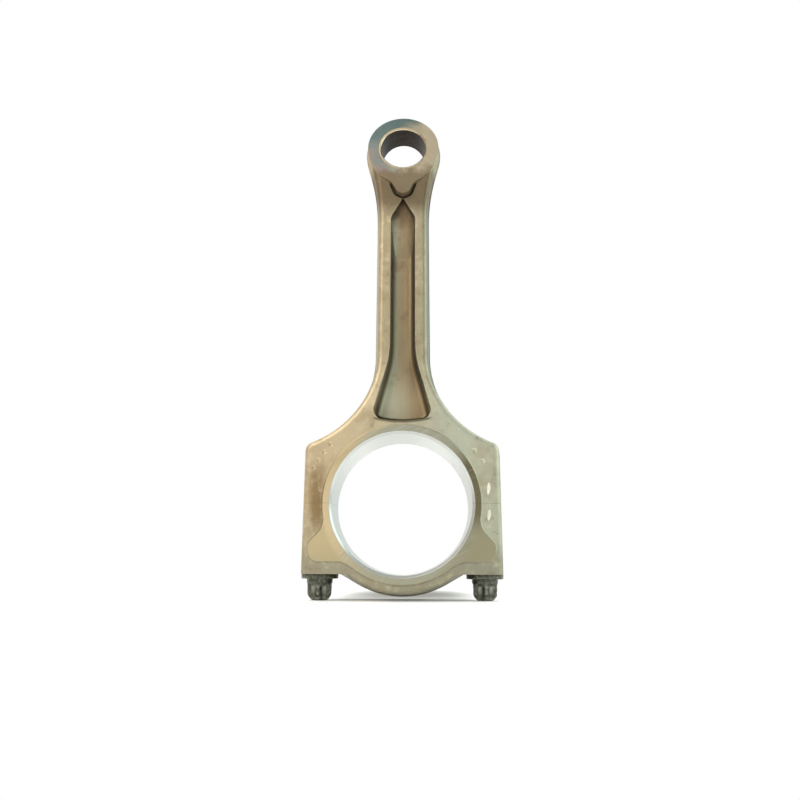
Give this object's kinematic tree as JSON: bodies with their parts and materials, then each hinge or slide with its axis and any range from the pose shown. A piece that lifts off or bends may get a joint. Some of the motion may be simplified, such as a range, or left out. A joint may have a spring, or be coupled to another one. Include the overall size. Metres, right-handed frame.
{
  "type": "connecting rod",
  "caption": "Forged steel engine connecting rod: I-section shank, tapered small end with a bush, split big end and a cap held by flanged six-lobe bolts.",
  "frame": {"origin": "centre of the big-end bore, midway between its two thrust faces", "axes": "+Z along the rod from the big end to the small end, +Y along the bores, +X across the rod towards the right bolt"},
  "size_m": [0.0738, 0.0254, 0.1934],
  "materials": {
    "forged_steel": "shot-blasted forging with ground and bored machined faces",
    "bush_bronze": "fine-bored, oil-browned",
    "bolt_steel": "black phosphated, oiled"
  },
  "bodies": {
    "rod": {"rod_body": "forged_steel", "small_end_bush": "bush_bronze"},
    "cap": {"rod_cap": "forged_steel"},
    "left_bolt": {"left_cap_bolt": "bolt_steel"},
    "right_bolt": {"right_cap_bolt": "bolt_steel"}
  },
  "joints": [
    {"name": "cap_draw_off", "type": "slide", "parent": "rod", "child": "cap", "axis": [0, 0, -1], "range_m": [0, 0.045]},
    {"name": "left_bolt_withdraw", "type": "slide", "parent": "cap", "child": "left_bolt", "axis": [0, 0, -1], "range_m": [0, 0.045]},
    {"name": "right_bolt_withdraw", "type": "slide", "parent": "cap", "child": "right_bolt", "axis": [0, 0, -1], "range_m": [0, 0.045]}
  ]
}
